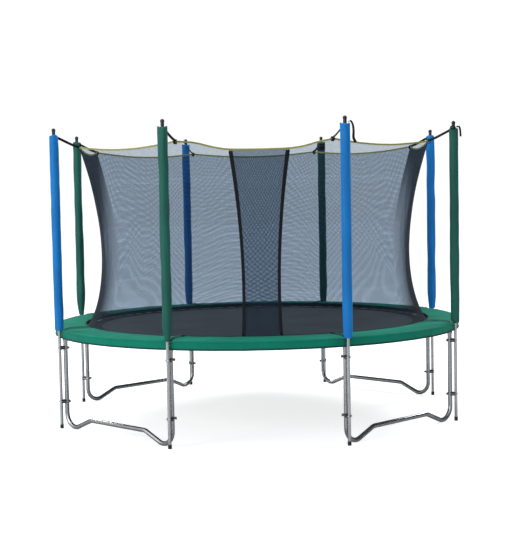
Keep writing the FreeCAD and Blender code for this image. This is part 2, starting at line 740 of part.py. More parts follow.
def make_net():
    """Seven closed panels, two front panels beside the entrance, and the hems along top and foot."""
    seam = 0.5 / size("net_corner_ring")
    edge = HALF_PANEL - seam
    thick, hem, low = size("net_thick"), size("hem_height"), size("net_low")
    middles = [math.radians(pole_angle(number)) + HALF_PANEL for number in numbers]
    hem_gap, stand_out = size("net_hem_gap"), size("hem_stand_out")
    walls, hems = [], []
    for middle in middles:
        front = abs(math.sin(middle) + 1) < 1e-6

        def under_hem(turn, front=front):
            return net_top(turn, front) - hem - hem_gap

        def top(turn, front=front):
            return net_top(turn, front)

        def hem_foot(turn, front=front):
            return net_top(turn, front) - hem

        spans = [(lambda share: -edge, lambda share: edge)]
        if front:
            spans = [(lambda share: -edge, lambda share: door_angle(-1, share)),
                     (lambda share: door_angle(1, share), lambda share: edge)]
        for left, right in spans:
            walls.append(skin_solid(panel(middle, left, right, lambda turn: low, under_hem, front), 0, thick))
        whole = panel(middle, lambda share: -edge, lambda share: edge, hem_foot, top, front)
        hems.append(skin_solid(whole, -stand_out, thick + 2 * stand_out, columns=17, rows=3))
    feature("safety_net", walls)
    feature("net_top_hem", hems)
    outside = "net_foot_ring + (foot_hem_thick - net_thick) / 2"
    foot = tube("foot_hem", outside, f"{outside} - foot_hem_thick", "foot_hem_low", "foot_hem_high")
    keep("net_foot_hem", foot)


def make_entrance():
    """Two black tapes along the edges of the entrance, and the second layer of net hung inside it."""
    low, hem, thick = size("net_low"), size("hem_height"), size("net_thick")

    def top(turn):
        return net_top(turn, True) - hem - size("net_hem_gap")

    tapes = []
    for side in (-1, 1):
        half = size("door_tape_width / 2") / size("net_head_ring")
        strip = panel(FRONT, lambda share, side=side: door_angle(side, share) - half,
                      lambda share, side=side: door_angle(side, share) + half,
                      lambda turn: low + 1, top, True)
        tapes.append(skin_solid(strip, -size("tape_stand_out"), size("tape_thick"), columns=3))
    feature("entrance_tapes", tapes)

    overlap = size("flap_overlap") / size("net_head_ring")
    sheet = panel(FRONT, lambda share: door_angle(-1, share) - overlap,
                  lambda share: door_angle(1, share) + overlap,
                  lambda turn: size("flap_low"), lambda turn: top(turn) - 4, True)
    feature("entrance_flap", [skin_solid(sheet, size("flap_inset"), thick)])


def make_straps():
    """Straps from the net's top corners up to the poles, and from its foot out over the pad."""
    start = Vector(size("net_corner_ring + hem_stand_out + strap_gap"), 0,
                   size("net_corner_height - strap_gap"))
    end = Vector(size("pole_ring - cover_dia / 2 - strap_gap"), 0, size("cover_high - strap_drop"))
    run = end - start
    strap = box("top_strap", ("0", "-strap_width / 2", "-strap_thick / 2"),
                ("1", "strap_width / 2", "strap_thick / 2"))
    strap.setExpression("Length", None)
    strap.Length = run.Length
    rise = math.degrees(math.atan2(run.z, run.x))
    lean = Placement(start, Rotation(Vector(0, 1, 0), -rise))
    group("net_top_straps", strap, [polar(pole_angle(number)).multiply(lean) for number in numbers])

    flat = box("foot_strap", ("pad_inner_ring + strap_gap", "-strap_width / 2", "pad_top + sliding_gap"),
               ("pole_ring - pad_notch - 1", "strap_width / 2", "pad_top + sliding_gap + strap_thick"))
    group("net_foot_straps", flat, [polar(pole_angle(number)) for number in numbers])


# ---------------------------------------------------------------- build, check and write

def check():
    """Stops if any object failed or any sub-part is empty or not valid."""
    for item in doc.Objects:
        faults = [state for state in item.State if state in ("Invalid", "Error")]
        if faults:
            raise SystemExit(f"{item.Label}: {faults}")
    for part in nodes:
        if part.Shape.isNull() or not part.Shape.isValid() or not part.Shape.Solids:
            raise SystemExit(f"{part.Label}: no valid solid")
        if min(solid.Volume for solid in part.Shape.Solids) <= 0:
            raise SystemExit(f"{part.Label}: a solid is inside out")


def write():
    """One STEP file for each sub-part."""
    os.makedirs("parts", exist_ok=True)
    for part in nodes:
        part.Shape.exportStep(f"parts/{part.Label}.step")
        print(f"{part.Label}: {len(part.Shape.Solids)} solids, {part.Shape.Volume / 1000:.1f} cm3")


make_rails()
make_rail_screws()
make_leg_bases()
make_uprights()
make_poles()
make_pole_covers()
make_clamps()
make_pad()
make_mat()
make_springs()
make_net()
make_entrance()
make_straps()
doc.recompute()
check()
write()
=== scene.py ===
import json
import math

import bmesh
import bpy
import numpy as np
from mathutils import Matrix, Vector


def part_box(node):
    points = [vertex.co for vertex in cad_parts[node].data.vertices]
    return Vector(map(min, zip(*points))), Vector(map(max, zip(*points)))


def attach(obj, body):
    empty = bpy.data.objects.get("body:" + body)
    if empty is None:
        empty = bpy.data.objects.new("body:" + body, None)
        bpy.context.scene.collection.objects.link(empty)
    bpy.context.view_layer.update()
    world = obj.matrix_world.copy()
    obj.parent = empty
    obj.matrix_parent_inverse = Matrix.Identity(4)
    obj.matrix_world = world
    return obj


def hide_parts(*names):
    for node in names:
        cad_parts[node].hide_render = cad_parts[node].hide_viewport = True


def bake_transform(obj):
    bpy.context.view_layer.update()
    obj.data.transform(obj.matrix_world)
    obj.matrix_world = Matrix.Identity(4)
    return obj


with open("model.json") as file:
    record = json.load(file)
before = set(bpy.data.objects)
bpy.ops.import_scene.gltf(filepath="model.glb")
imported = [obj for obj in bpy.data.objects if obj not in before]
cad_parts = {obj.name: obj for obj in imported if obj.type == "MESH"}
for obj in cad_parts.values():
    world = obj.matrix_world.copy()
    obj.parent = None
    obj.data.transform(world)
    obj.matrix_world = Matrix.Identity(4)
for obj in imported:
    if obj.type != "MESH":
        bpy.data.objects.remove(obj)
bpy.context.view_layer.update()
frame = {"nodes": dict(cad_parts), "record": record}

# Round garden trampoline with a safety net: the look of every piece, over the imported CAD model.
# Metres, +Z up, entrance on the -Y side. Angles are in radians from +X, seen from above.
# The poles are numbered anticlockwise from the one right of the entrance, blue and green by turns.

POLES = range(1, 9)
HALF_PANEL = math.pi / 8
FRONT = -math.pi / 2
WHOLE_TURN = 2 * math.pi

POLE_RING = 1.860
COVER_RADIUS = 0.040
MAT_LEVEL = 0.831
MAT_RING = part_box("jumping_mat")[1].x
COVER_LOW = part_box("pole_cover_1")[0].z
COVER_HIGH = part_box("pole_cover_1")[1].z
CAP_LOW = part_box("pole_caps")[0].z


def pole_angle(number):
    """Direction of a pole from the middle of the frame."""
    return math.radians(-90 + 45 * (number - 0.5))


# ---------------------------------------------------------------- surfaces from arrays

def grid(points, size=(1.0, 1.0), wrap=(False, False)):
    """One or more surfaces on a grid. points is (..., rows, columns, 3), size the cloth's lengths along
    rows and columns, wrap whether the last row or column joins the first. Gives the flat points, the quads,
    and the place in the cloth of each quad's corners."""
    points = np.asarray(points, float)
    rows, columns = points.shape[-3:-1]
    count = points.size // (rows * columns * 3)
    row, column = np.meshgrid(np.arange(rows if wrap[0] else rows - 1),
                              np.arange(columns if wrap[1] else columns - 1), indexing="ij")
    corner_rows = row[..., None] + np.array([0, 1, 1, 0])
    corner_columns = column[..., None] + np.array([0, 0, 1, 1])
    quads = ((corner_rows % rows) * columns + corner_columns % columns).reshape(-1, 4)
    steps = (rows if wrap[0] else rows - 1, columns if wrap[1] else columns - 1)
    cloth = np.stack([corner_rows * size[0] / steps[0], corner_columns * size[1] / steps[1]], -1)
    quads = quads[None] + (np.arange(count) * rows * columns)[:, None, None]
    cloth = np.broadcast_to(cloth.reshape(-1, 4, 2), (count, len(quads[0]), 4, 2))
    return points.reshape(-1, 3), quads.reshape(-1, 4), cloth.reshape(-1, 4, 2)


def make_piece(name, grids, material, body="frame", closed=True):
    """A mesh object from one or more grids. A closed one has its doubles merged and its faces turned
    outwards. It rides on a body, or on none yet if body is None."""
    starts = np.cumsum([0] + [len(points) for points, _, _ in grids])
    points = np.concatenate([points for points, _, _ in grids])
    quads = np.concatenate([quads + start for (_, quads, _), start in zip(grids, starts)])
    cloth = np.concatenate([cloth for _, _, cloth in grids])
    mesh = bpy.data.meshes.new(name)
    mesh.from_pydata(points.tolist(), [], quads.tolist())
    mesh.uv_layers.new(name="Cloth").uv.foreach_set("vector", cloth.astype(np.float32).ravel())
    if closed:
        work = bmesh.new()
        work.from_mesh(mesh)
        bmesh.ops.remove_doubles(work, verts=work.verts, dist=1e-6)
        bmesh.ops.recalc_face_normals(work, faces=work.faces)
        work.to_mesh(mesh)
        work.free()
    mesh.polygons.foreach_set("use_smooth", np.ones(len(mesh.polygons), bool))
    mesh.materials.append(material)
    piece = bpy.data.objects.new(name, mesh)
    bpy.context.scene.collection.objects.link(piece)
    if body:
        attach(piece, body)
    return piece


def polar(ring, angle, height):
    """Points at a ring, an angle and a height, which may be arrays."""
    ring, angle, height = np.broadcast_arrays(ring, angle, height)
    return np.stack([ring * np.cos(angle), ring * np.sin(angle), height], -1)


def turned(points, angle):
    """Points turned about the upright axis, one copy for each angle."""
    angle = np.atleast_1d(angle)
    cos, sin = np.cos(angle), np.sin(angle)
    zero, one = np.zeros_like(angle), np.ones_like(angle)
    turns = np.stack([np.stack([cos, sin, zero], -1), np.stack([-sin, cos, zero], -1),
                      np.stack([zero, zero, one], -1)], -2)
    return np.einsum("...i,nij->n...j", points, turns)


def folds(points, seed, lengths, waves=24):
    """Smooth noise, mostly within -1 to 1: the sum of sine waves over their number's square root. Their
    directions and phases are drawn from a seed, and lengths are the wave lengths along x, y and z."""
    draw = np.random.default_rng(seed)
    directions = draw.normal(size=(waves, 3)) * WHOLE_TURN / np.asarray(lengths)
    phases = draw.uniform(0, WHOLE_TURN, waves)
    return np.sin(points @ directions.T + phases).sum(-1) / math.sqrt(waves)


def swept(path, side, width, thick, power=1.0, sections=8, loop=False):
    """A bar along a path. Its section is a superellipse: width times cos to a power along side, thick times
    sin to that power across it, so that power 1 is round and 0.3 is a flat strap with rounded edges."""
    path = np.asarray(path, float)
    if loop:
        along = np.roll(path, -1, -2) - np.roll(path, 1, -2)
    else:
        along = np.gradient(path, axis=-2)
    along /= np.linalg.norm(along, axis=-1, keepdims=True)
    side = np.broadcast_to(side, path.shape)
    side = side - (side * along).sum(-1, keepdims=True) * along
    side /= np.linalg.norm(side, axis=-1, keepdims=True)
    up = np.cross(along, side)
    turn = np.linspace(0, WHOLE_TURN, sections, endpoint=False) + math.pi / sections
    width, thick = np.asarray(width)[..., None, None], np.asarray(thick)[..., None, None]
    across = (np.sign(np.cos(turn)) * np.abs(np.cos(turn)) ** power)[:, None] * width / 2
    high = (np.sign(np.sin(turn)) * np.abs(np.sin(turn)) ** power)[:, None] * thick / 2
    skin = path[..., None, :] + across * side[..., None, :] + high * up[..., None, :]
    if not loop:
        first = np.broadcast_to(path[..., :1, None, :], skin[..., :1, :, :].shape)
        last = np.broadcast_to(path[..., -1:, None, :], skin[..., -1:, :, :].shape)
        skin = np.concatenate([first, skin, last], -3)
    length = np.linalg.norm(np.diff(path, axis=-2), axis=-1).sum(-1).mean()
    around = 2 * (np.mean(width) + np.mean(thick))
    return grid(skin, (length, around), (loop, True))


def eased(corners, count):
    """A smooth line through given points: between two of them a cubic whose slope at each point is half of
    the step between its neighbours."""
    corners = np.asarray(corners, float)
    padded = np.concatenate([2 * corners[:1] - corners[1:2], corners, 2 * corners[-1:] - corners[-2:-1]])
    place = np.linspace(0, len(corners) - 1, count)
    first = np.minimum(place.astype(int), len(corners) - 2)
    t = (place - first)[:, None]
    before, start, end, after = (padded[first + step] for step in range(4))
    return start + t / 2 * (end - before + t * (2 * before - 5 * start + 4 * end - after
                            + t * (3 * (start - end) + after - before)))


# ---------------------------------------------------------------- materials

class Value:
    """A socket of a material; arithmetic on it adds Math nodes."""

    def __init__(self, paint, socket):
        self.paint = paint
        self.socket = socket

    def __add__(self, other):
        return self.paint.reckon("ADD", self, other)

    def __sub__(self, other):
        return self.paint.reckon("SUBTRACT", self, other)

    def __rsub__(self, other):
        return self.paint.reckon("SUBTRACT", other, self)

    def __mul__(self, other):
        return self.paint.reckon("MULTIPLY", self, other)

    def __truediv__(self, other):
        return self.paint.reckon("DIVIDE", self, other)

    def __abs__(self):
        return self.paint.reckon("ABSOLUTE", self)

    __radd__ = __add__
    __rmul__ = __mul__

    def at_least(self, other):
        """The greater of two values."""
        return self.paint.reckon("MAXIMUM", self, other)

    def wave(self, length):
        """A sine of the value with a wave length."""
        return self.paint.reckon("SINE", self * (WHOLE_TURN / length))

    def over(self, low, high):
        """A smooth step from 0 at low to 1 at high."""
        settings = {"interpolation_type": "SMOOTHSTEP"}
        return self.paint.add("ShaderNodeMapRange", settings, {0: self, 1: low, 2: high})


class Paint:
    """A procedural material: one Principled shader and the nodes that feed it."""

    def __init__(self, name, constants):
        self.material = bpy.data.materials.new(name)
        self.material.use_nodes = True
        self.tree = self.material.node_tree
        self.shader = self.tree.nodes["Principled BSDF"]
        for socket, value in constants.items():
            self.shader.inputs[socket].default_value = value

    def add(self, kind, settings, inputs, output=0):
        """A node of a type: its settings first, then the values or links of its sockets."""
        node = self.tree.nodes.new(kind)
        for name, value in settings.items():
            setattr(node, name, value)
        for key, value in inputs.items():
            if isinstance(value, Value):
                self.tree.links.new(value.socket, node.inputs[key])
            else:
                node.inputs[key].default_value = value
        return Value(self, node.outputs[output])

    def reckon(self, operation, *inputs):
        """A Math node."""
        return self.add("ShaderNodeMath", {"operation": operation}, dict(enumerate(inputs)))

    def feed(self, socket, value):
        """Links a value to the shader."""
        self.tree.links.new(value.socket, self.shader.inputs[socket])

    def place(self, scale=(1.0, 1.0, 1.0), cloth=False):
        """The point on the object, or in the piece's cloth, stretched by a scale."""
        where = self.add("ShaderNodeTexCoord", {}, {}, "UV" if cloth else "Object")
        return self.add("ShaderNodeMapping", {}, {"Vector": where, "Scale": scale})

    def axes(self, vector):
        """The three numbers of a vector."""
        first = self.add("ShaderNodeSeparateXYZ", {}, {0: vector})
        node = first.socket.node
        return [Value(self, node.outputs[index]) for index in range(3)]

    def noise(self, scale, detail=3.0, stretch=(1.0, 1.0, 1.0), cloth=False, roughness=0.5):
        """Cloudy noise from 0 to 1, with so many clouds per metre."""
        inputs = {"Vector": self.place(stretch, cloth), "Scale": scale, "Detail": detail,
                  "Roughness": roughness}
        return self.add("ShaderNodeTexNoise", {}, inputs)

    def cells(self, scale, stretch=(1.0, 1.0, 1.0)):
        """A random number for each cell of a cracked pattern."""
        inputs = {"Vector": self.place(stretch), "Scale": scale}
        colour = self.add("ShaderNodeTexVoronoi", {}, inputs, "Color")
        return self.axes(colour)[0]

    def mix(self, factor, first, second):
        """A colour between two colours."""
        return self.add("ShaderNodeMix", {"data_type": "RGBA"}, {0: factor, 6: first, 7: second}, 2)

    def bump(self, height, distance, strength=1.0):
        """Relief of the surface, in metres."""
        inputs = {"Height": height, "Distance": distance, "Strength": strength}
        self.feed("Normal", self.add("ShaderNodeBump", {}, inputs))


def shade(colour, factor):
    """A colour made darker or lighter."""
    return (*(min(part * factor, 1.0) for part in colour), 1.0)


def galvanised(name, tone, scale):
    """Zinc-coated steel: spangle cells of differing brightness, dull clouds and faint drawing lines."""
    paint = Paint(name, {"Metallic": 1.0})
    spangle = paint.cells(scale)
    clouds = paint.noise(7.0, 5.0)
    lines = paint.noise(140.0, 2.0, (1.0, 1.0, 0.04))
    grey = (tone, tone * 1.02, tone * 1.035)
    light = spangle * 0.35 + clouds * 0.65
    paint.feed("Base Color", paint.mix(light, shade(grey, 0.80), shade(grey, 1.10)))
    paint.feed("Roughness", 0.13 + spangle * 0.08 + clouds * 0.14 + lines * 0.06)
    paint.bump(lines * 0.4 + spangle * 0.6, 0.0002, 0.14)
    return paint.material


def moulded(name, colour, roughness):
    """Moulded plastic: fine grain and faint flow clouds."""
    paint = Paint(name, {"Specular IOR Level": 0.45})
    grain = paint.noise(900.0, 2.0)
    clouds = paint.noise(30.0, 3.0)
    paint.feed("Base Color", paint.mix(clouds, shade(colour, 0.8), shade(colour, 1.5)))
    paint.feed("Roughness", roughness + clouds * 0.12 + grain * 0.06)
    paint.bump(grain, 0.0002, 0.3)
    return paint.material


def cloth_paint(name, colour, roughness, thread, wear=0.5, crease=0.0008, gloss=0.22):
    """Coated cloth: a plain weave of threads, small creases, faded clouds and light wear on the creases."""
    paint = Paint(name, {"Sheen Weight": 0.03, "Sheen Roughness": 0.4, "Specular IOR Level": gloss})
    along, across, _ = paint.axes(paint.place(cloth=True))
    weave = along.wave(thread) * across.wave(thread)
    clouds = paint.noise(3.0, 4.0)
    creases = paint.noise(22.0, 5.0, (1.0, 1.0, 0.45), roughness=0.6)
    worn = creases.over(0.56, 0.74) * wear
    body = paint.mix(clouds.over(0.3, 0.7), shade(colour, 0.90), shade(colour, 1.08))
    bare = shade([0.85 * part + 0.008 for part in colour], 1.5)
    paint.feed("Base Color", paint.mix(worn * 0.35, body, bare))
    paint.feed("Roughness", roughness + clouds * 0.10 + worn * 0.12)
    paint.bump(creases * crease + weave * (thread * 0.06), 1.0, 0.9)
    return paint.material


def webbing_paint(name, colour, rib, roughness=0.7):
    """Woven tape: ribs across it, a herringbone of finer threads, and fuzz that lightens it in places.
    Painted shade makes its colour darker between the ribs.
    """
    paint = Paint(name, {"Sheen Weight": 0.05, "Sheen Roughness": 0.5, "Specular IOR Level": 0.2})
    along, across, _ = paint.axes(paint.place(cloth=True))
    ribs = along.wave(rib)
    herring = (along + across).wave(rib * 1.7) * 0.5
    fuzz = paint.noise(60.0, 4.0)
    # the rib part of the colour is painted shade, lighter on the rib tops and darker in the grooves; the
    # fuzz part is the tape's own lighter places
    lift = (ribs * 0.5 + 0.5) * 0.35 + fuzz * 0.65
    paint.feed("Base Color", paint.mix(lift, shade(colour, 0.7), shade(colour, 1.35)))
    paint.feed("Roughness", roughness + fuzz * 0.2 - ribs * 0.05)
    paint.bump(ribs + herring, rib * 0.12, 0.8)
    return paint.material


def mesh_paint(name, colour, tint, pitch, cover, seams=()):
    """Knitted net: two families of threads that cross aslant and cover a share of it. It is open between
    them, but for finer blue threads that tint what is seen through. Seen edge on, the threads close the
    view, as their thickness does. Seams are heights with a thinner knit."""
    paint = Paint(name, {"Roughness": 0.6, "Specular IOR Level": 0.1})
    along, across, _ = paint.axes(paint.place(cloth=True))
    diagonal = pitch * 1.414
    fill = cover * 0.28
    rising = (along + across).wave(diagonal)
    falling = (along - across).wave(diagonal)
    edge = math.sin(math.pi * (math.sqrt(1 - (cover - fill) / (1 - fill)) - 0.5))
    threads = rising.at_least(falling).over(edge - 0.7, edge + 0.7) * (1 - fill) + fill
    facing = paint.add("ShaderNodeLayerWeight", {}, {"Blend": 0.5}, "Facing")
    clouds = paint.noise(1.6, 3.0)
    height = paint.axes(paint.place())[2]
    thin = sum((1 - abs(height - level).over(0.004, 0.010)) * 0.06 for level in seams)
    closed = (threads * (0.95 + clouds * 0.1) - thin).at_least(facing.over(0.44, 0.87) * 0.98)
    paint.feed("Base Color", paint.mix(clouds, shade(colour, 0.75), shade(colour, 1.3)))
    tint = paint.add("ShaderNodeBsdfTransparent", {}, {"Color": (*tint, 1.0)})
    thread = Value(paint, paint.shader.outputs[0])
    seen = paint.add("ShaderNodeMixShader", {}, {0: closed, 1: tint, 2: thread})
    paint.tree.links.new(seen.socket, paint.tree.nodes["Material Output"].inputs["Surface"])
    return paint.material


# one zinc-coated steel in two tones: the net poles' paler copy is painted light, for the brighter light
# that falls on them
LEG_STEEL = galvanised("leg_steel", 0.40, 110.0)
POLE_STEEL_PAINTED_LIGHT = galvanised("pole_steel_painted_light", 0.50, 140.0)
STEEL_WIRE = galvanised("zinc_plated_steel", 0.50, 420.0)
BLACK_PLASTIC = moulded("black_plastic", (0.012, 0.013, 0.016), 0.38)
FOAM = moulded("grey_foam", (0.10, 0.10, 0.11), 0.85)
BLUE_CLOTH = cloth_paint("blue_cover_cloth", (0.007, 0.205, 0.590), 0.50, 0.0012)
GREEN_CLOTH = cloth_paint("green_cover_cloth", (0.014, 0.120, 0.090), 0.52, 0.0012)
PAD_CLOTH = cloth_paint("green_pad_cloth", (0.004, 0.225, 0.142), 0.58, 0.0016,
                        crease=0.0022, gloss=0.10)
PAD_BINDING = webbing_paint("pad_binding_tape", (0.006, 0.070, 0.062), 0.0022)
MAT_CLOTH = cloth_paint("mat_woven_cloth", (0.076, 0.078, 0.075), 0.48, 0.0035,
                        wear=0.8, crease=0.0003)
# the mat's edge tape is very dark and spans the whole dark edge ring: part real webbing, part painted shade
# under the pad
MAT_WEBBING_AND_SHADE = webbing_paint("mat_edge_tape_and_painted_shade", (0.006, 0.009, 0.018), 0.0030)
BLACK_WEBBING = webbing_paint("black_strap_webbing", (0.008, 0.009, 0.014), 0.0024)
GREEN_WEBBING = webbing_paint("dark_green_webbing", (0.006, 0.050, 0.036), 0.0024)
YELLOW_TAPE = webbing_paint("yellow_hem_tape", (0.36, 0.35, 0.115), 0.0020)
NAVY = (0.008, 0.016, 0.028)
NET = mesh_paint("navy_net", NAVY, (0.80, 0.90, 1.0), 0.0070, 0.51, seams=(2.135, 1.195))
DOOR_NET = mesh_paint("navy_net_doubled", NAVY, (0.64, 0.81, 1.0), 0.0065, 0.76)

SLOT_PAINT = {
    "galvanised_tube": LEG_STEEL, "zinc_wire": STEEL_WIRE, "black_plastic": BLACK_PLASTIC, "foam": FOAM,
    "blue_cover": BLUE_CLOTH, "green_cover": GREEN_CLOTH, "green_pad": PAD_CLOTH, "mat_fabric": MAT_CLOTH,
    "mat_webbing": MAT_WEBBING_AND_SHADE, "net_mesh": NET, "yellow_hem": YELLOW_TAPE, "black_webbing": BLACK_WEBBING,
}


def paint_cad_nodes():
    """Gives every CAD node the finish of its material slot, and the net poles a paler copy of the steel,
    which is painted light.
    """
    for row in frame["record"]["subparts"]:
        name, slot = row["node"], row["material_slot"]
        # the paler steel on the net poles is painted light
        pale = slot == "galvanised_tube" and name.startswith("pole_")
        materials = frame["nodes"][name].data.materials
        materials.clear()
        materials.append(POLE_STEEL_PAINTED_LIGHT if pale else SLOT_PAINT[slot])


# ---------------------------------------------------------------- covers of the poles

# how each cover ends at its foot: narrowing, slant of the hem in metres, and where the slant points
COVER_FEET = {
    1: (0.04, 0.003, 0.0), 2: (0.05, 0.018, -2.4), 3: (0.25, 0.010, 0.8), 4: (0.20, 0.012, 2.0),
    5: (0.15, 0.008, 1.0), 6: (0.42, 0.010, 0.5), 7: (0.05, 0.004, 0.0), 8: (0.40, 0.006, 1.2),
}


# shares of the cover's outline at which its top, wall and foot end
TOP_END, WALL_END, FOOT_END = 0.10, 0.86, 0.94


def cover_section(share):
    """The cover's closed outline from the pole out, as distance from the pole and height, for a share from
    0 to 1 once round it: out over the top, down the wall, in at the foot, and back up the bore."""
    top = np.clip(share / TOP_END, 0, 1)
    wall = np.clip((share - TOP_END) / (WALL_END - TOP_END), 0, 1)
    foot = np.clip((share - WALL_END) / (FOOT_END - WALL_END), 0, 1)
    bore = np.clip((share - FOOT_END) / (1 - FOOT_END), 0, 1)
    inner, thick = 0.0150, 0.0250
    distance = inner + thick * np.sin(top * math.pi / 2) ** 0.5
    distance -= thick * (1 - np.cos(foot * math.pi / 2)) ** 1.6
    distance -= 0.0008 * np.sin(bore * math.pi)
    high, low = COVER_HIGH - 0.002, COVER_LOW + 0.002
    height = high - 0.010 * (1 - np.cos(top * math.pi / 2)) - (high - low - 0.018) * wall
    height -= 0.008 * np.sin(foot * math.pi / 2)
    height += (high - low) * bore
    return distance, height


def make_covers():
    """Sewn covers over foam: round sleeves with shallow dents and long folds, two pointed ears of cloth
    that stand up at the top, and a foot that is cut straight, slanting or drawn in with gathers."""
    rows = np.concatenate([np.linspace(0, TOP_END, 9), np.linspace(TOP_END, WALL_END, 120)[1:],
                           np.linspace(WALL_END, FOOT_END, 9)[1:], np.linspace(FOOT_END, 1.0, 4)[1:-1]])
    turn = np.linspace(0, WHOLE_TURN, 40, endpoint=False)
    distance, height = (column[:, None] for column in cover_section(rows))
    near_foot = np.clip(1 - (height - COVER_LOW) / 0.16, 0, 1) ** 1.5
    near_top = np.clip(1 - (COVER_HIGH - height) / 0.10, 0, 1) ** 2
    outside = np.clip((distance - 0.016) / 0.012, 0, 1)
    ears = np.abs(np.sin(turn)) ** 6 * near_top * outside * np.clip((distance - 0.03) / 0.008, 0, 1)
    shell = polar(distance, turn[None], height)
    for number in POLES:
        narrow, slant, towards = COVER_FEET[number]
        dents = folds(shell, 10 + number, (0.16, 0.16, 0.42)) * 0.0011 * (1 + 3 * narrow)
        long_folds = folds(shell, 30 + number, (0.045, 0.045, 0.9)) * 0.0008 * (1 + 2 * narrow)
        gathers = np.abs(np.sin(turn * 4.5 + number)) * near_foot * (0.0010 + 0.009 * narrow)
        reach = 1 - narrow * near_foot * outside
        grown = distance * reach + outside * (dents + long_folds - gathers - 0.0006)
        lifted = height + ears * 0.014
        lifted = lifted + near_foot * outside * slant * (0.5 + 0.5 * np.cos(turn - towards))
        skin = polar(grown + ears * 0.004, turn[None], lifted)
        angle = pole_angle(number)
        skin = turned(skin, angle)[0] + polar(POLE_RING, angle, 0.0)
        paint = BLUE_CLOTH if number % 2 else GREEN_CLOTH
        cover = make_piece(f"pole_sleeve_{number}", [grid(skin, (3.5, 0.25), (True, True))], paint)
        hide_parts(f"pole_cover_{number}")


def make_foam():
    """Foam tubes in the covers: a tube with a slit along its back, softly uneven."""
    height = np.linspace(COVER_LOW + 0.150, COVER_HIGH - 0.014, 60)
    columns = 24
    turn = np.linspace(0.02, WHOLE_TURN - 0.02, columns)
    rings = np.repeat([0.0300, 0.0150], columns)
    turns = np.concatenate([turn, turn[::-1]])
    tubes = []
    for number in POLES:
        wall = polar(rings[None], turns[None], height[:, None])
        wall[..., :2] *= 1 + folds(wall, 50 + number, (0.1, 0.1, 0.3))[..., None] * 0.008
        ends = [wall[:1].copy(), wall[-1:].copy()]
        for end in ends:
            end[..., :columns, :] = end[..., columns:, :][..., ::-1, :]
        tubes.append(turned(np.concatenate([ends[0], wall, ends[1]]), pole_angle(number))[0]
                     + polar(POLE_RING, pole_angle(number), 0.0))
    foam = make_piece("pole_foam", [grid(np.array(tubes), (1.7, 0.3), (False, True))], FOAM)
    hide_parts("foam_tubes")


def make_collars():
    """The caps' skirts: short tubes round the poles, from inside each cover's top up to the ball."""
    low, high = COVER_HIGH - 0.020, CAP_LOW + 0.002
    height = np.array([low, low + 0.001, high - 0.001, high, high, low])
    reach = np.array([0.0142, 0.0150, 0.0150, 0.0142, 0.0136, 0.0136])
    turn = np.linspace(0, WHOLE_TURN, 28, endpoint=False)
    outline = polar(reach[:, None], turn[None], height[:, None])
    collars = [outline + polar(POLE_RING, pole_angle(number), 0.0) for number in POLES]
    make_piece("cap_skirts", [grid(np.array(collars), (0.06, 0.1), (True, True))], BLACK_PLASTIC)


# ---------------------------------------------------------------- pad

def pad_section():
    """The pad's closed outline as ring and height: over the crowned top, round the foam's outer edge, in at
    the crease where the skirt is sewn on, down the skirt and back up inside it, and under the foam."""
    top = np.linspace(0, 1, 24)
    bulge = np.linspace(0, 1, 9)[1:]
    down = np.linspace(0, 1, 12)
    under = np.linspace(0, 1, 14)
    pieces = [
        (1.574 + 0.244 * top, 0.8645 + 0.0065 * np.sin(math.pi * top) ** 0.7),
        (1.818 + 0.0245 * np.sin(bulge * math.pi * 0.62) ** 0.9, 0.8645 - 0.0190 * bulge ** 1.5),
        (np.array([1.8385]), np.array([0.8430])),
        (1.8400 + 0.0015 * down, 0.8405 - 0.0555 * down),
        (np.array([1.8395]), np.array([0.7838])),
        (1.8378 - 0.0010 * down, 0.7850 + 0.0560 * down),
        (1.8250 - 0.2510 * under, 0.8535 + 0.0020 * under),
        (np.array([1.5685, 1.5668, 1.5690]), np.array([0.8572, 0.8605, 0.8632])),
    ]
    ring = np.concatenate([ring for ring, _ in pieces])
    height = np.concatenate([height for _, height in pieces])
    return ring, height


def skirt_wave(angle, drop):
    """How far the skirt stands out of its ring at a share of its drop: slow waves that grow downwards, and
    a fold pulled in at each pole."""
    around = polar(1.8, angle, 0.0)
    waves = folds(around, 71, (0.22, 0.22, 1.0)) * 0.0026 + folds(around, 72, (0.07, 0.07, 1.0)) * 0.0008
    return waves * (0.25 + 0.75 * drop) - pinch(angle, 0.010) * 0.006 - pinch(angle, 0.045) * 0.0035


def pinch(angle, width):
    """1 at a pole's direction, falling off over a width in radians."""
    step = WHOLE_TURN / 8
    away = (angle - pole_angle(1) + step / 2) % step - step / 2
    return np.exp(-(away / width) ** 2)


def dented(points, under):
    """Presses the pad down where a cover stands on it: its height is at most a cone round the pole's
    axis, less a depth that keeps the underside below the top."""
    poles = [polar(POLE_RING, pole_angle(number), 0.0) for number in POLES]
    nearest = np.min([np.hypot(points[..., 0] - x, points[..., 1] - y) for x, y, _ in poles], axis=0)
    past = nearest - COVER_RADIUS
    limit = 0.8495 + np.where(past > 0, past * 0.75, past * 0.35) - under
    softness = 0.0015
    gap = np.clip((points[..., 2] - limit) / softness, -30, 30)
    points[..., 2] -= softness * np.log1p(np.exp(gap))
    return points


